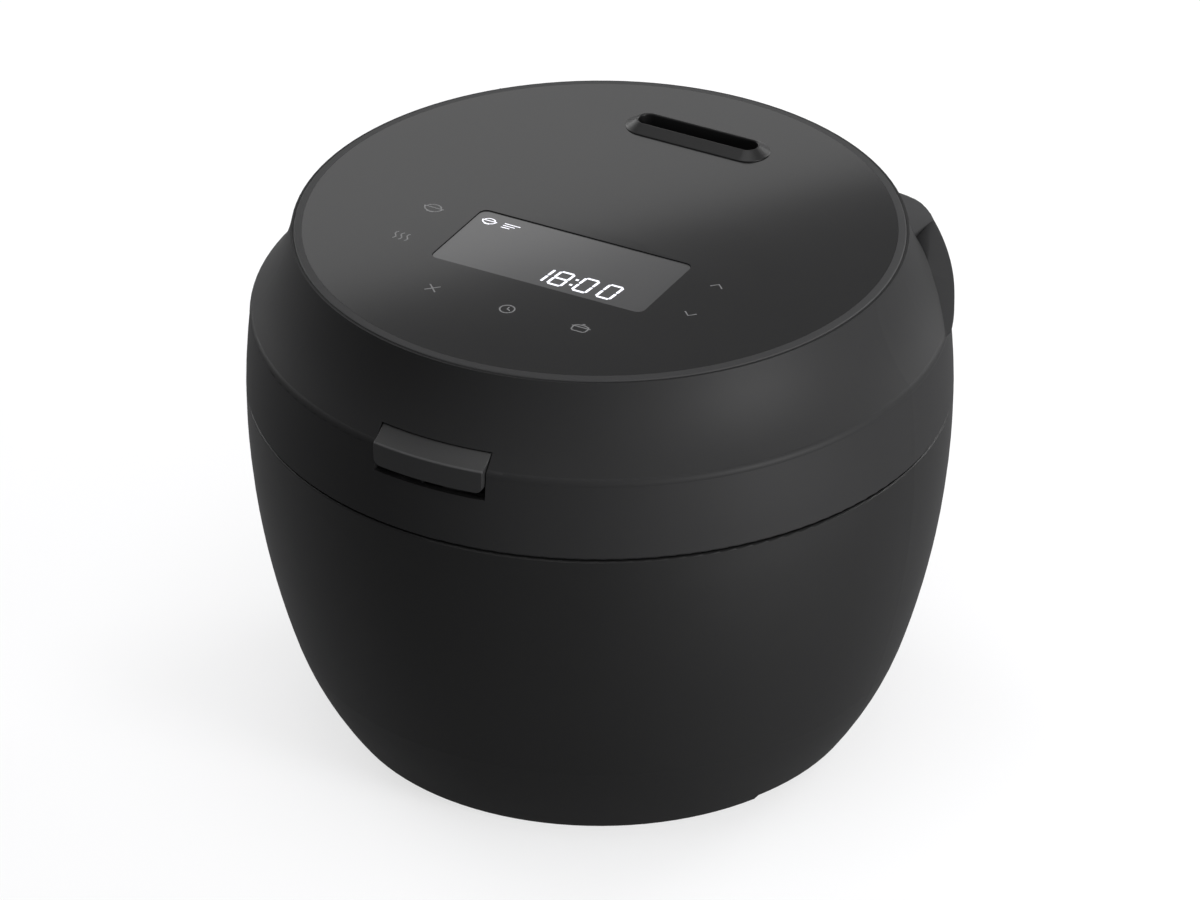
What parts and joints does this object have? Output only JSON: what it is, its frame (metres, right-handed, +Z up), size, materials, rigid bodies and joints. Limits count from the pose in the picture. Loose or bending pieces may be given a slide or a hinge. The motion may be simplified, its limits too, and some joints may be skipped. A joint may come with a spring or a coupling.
{
  "type": "rice cooker",
  "caption": "Round induction rice cooker with a thick rear-hinged lid, flat touch panel with display, steam vent and a front lid release button.",
  "frame": {"origin": "on the surface that the feet stand on, under the middle of the bowl", "axes": "+Z up, -Y out of the front where the lid release is, +X to the right seen from the front"},
  "size_m": [0.275, 0.2932, 0.2142],
  "materials": {
    "body_plastic": "satin moulded charcoal plastic",
    "lid_plastic": "satin moulded charcoal plastic",
    "panel_plastic": "fine satin coated panel",
    "window_plastic": "smoked clear window",
    "trim_plastic": "gloss black moulding",
    "button_plastic": "satin moulded charcoal plastic",
    "cover_plastic": "plain moulded black plastic",
    "frame_plastic": "plain moulded plastic",
    "inner_plastic": "heat-proof moulded plastic",
    "rubber": "plain",
    "gasket_rubber": "silicone",
    "steel": "plated steel",
    "pot_metal": "dark non-stick coating",
    "lid_metal": "satin sheet",
    "sink_metal": "extruded",
    "copper": "enamelled winding wire",
    "ferrite": "sintered",
    "board": "solder-masked board",
    "component": "moulded components"
  },
  "bodies": {
    "base": {"outer_body": "body_plastic", "bottom_cover": "cover_plastic", "rubber_feet": "rubber", "bottom_screws": "steel", "upper_frame": "frame_plastic", "strike_plate": "steel", "inner_pot": "pot_metal", "inner_casing": "inner_plastic", "bottom_coil": "copper", "side_coil": "copper", "side_heater": "steel", "ferrite_bars": "ferrite", "coil_carrier": "inner_plastic", "sensor_housing": "inner_plastic", "sensor_spring": "steel", "power_board": "board", "heat_sink": "sink_metal", "board_components": "component", "fan_frame": "component", "power_inlet": "cover_plastic", "inlet_pins": "steel", "hinge_bracket": "body_plastic", "bracket_screws": "steel", "hinge_pin": "steel"},
    "sensor": {"sensor_plunger": "lid_metal"},
    "fan": {"fan_rotor": "component"},
    "lid": {"hinge_arms": "lid_plastic", "arm_screws": "steel", "hinge_spring": "steel", "hinge_cover": "lid_plastic", "lid_shell": "lid_plastic", "button_housing": "component", "hook_pin": "steel", "button_springs": "steel", "lid_liner": "frame_plastic", "lid_screws": "steel", "lid_heater": "lid_metal", "inner_lid": "lid_metal", "pot_gasket": "gasket_rubber", "top_panel": "panel_plastic", "display_window": "window_plastic", "control_board": "board", "display_module": "component", "display_frame": "component", "sense_pads": "rubber", "vent_trim": "trim_plastic", "steam_box": "frame_plastic", "valve_cage": "frame_plastic", "steam_duct": "frame_plastic", "valve_ball": "steel", "solenoid": "component", "safety_valve": "component"},
    "button": {"release_button": "button_plastic"},
    "hook": {"latch_hook": "component"},
    "plunger": {"solenoid_plunger": "steel"}
  },
  "joints": [
    {"name": "lid_hinge", "type": "hinge", "parent": "base", "child": "lid", "pos_m": [0, 0.1475, 0.152], "axis": [-1, 0, 0], "range_deg": [0, 88]},
    {"name": "release_press", "type": "slide", "parent": "lid", "child": "button", "axis": [0, 0, -1], "range_m": [0, 0.0028], "stiffness_N_per_m": 600, "deforming": ["button_springs"]},
    {"name": "hook_turn", "type": "hinge", "parent": "lid", "child": "hook", "pos_m": [0, -0.114, 0.16], "axis": [1, 0, 0], "range_deg": [0, 12]},
    {"name": "fan_spin", "type": "hinge", "parent": "base", "child": "fan", "pos_m": [0.05, 0, 0.014], "axis": [0, 0, 1], "continuous": true},
    {"name": "sensor_press", "type": "slide", "parent": "base", "child": "sensor", "axis": [0, 0, -1], "range_m": [0, 0.002], "stiffness_N_per_m": 400, "deforming": ["sensor_spring"]},
    {"name": "plunger_push", "type": "slide", "parent": "lid", "child": "plunger", "axis": [0, 1, 0], "range_m": [0, 0.003], "stiffness_N_per_m": 150}
  ],
  "couplings": [
    {"joint": "hook_turn", "follows": "release_press", "rad_per_m": 74.8}
  ]
}
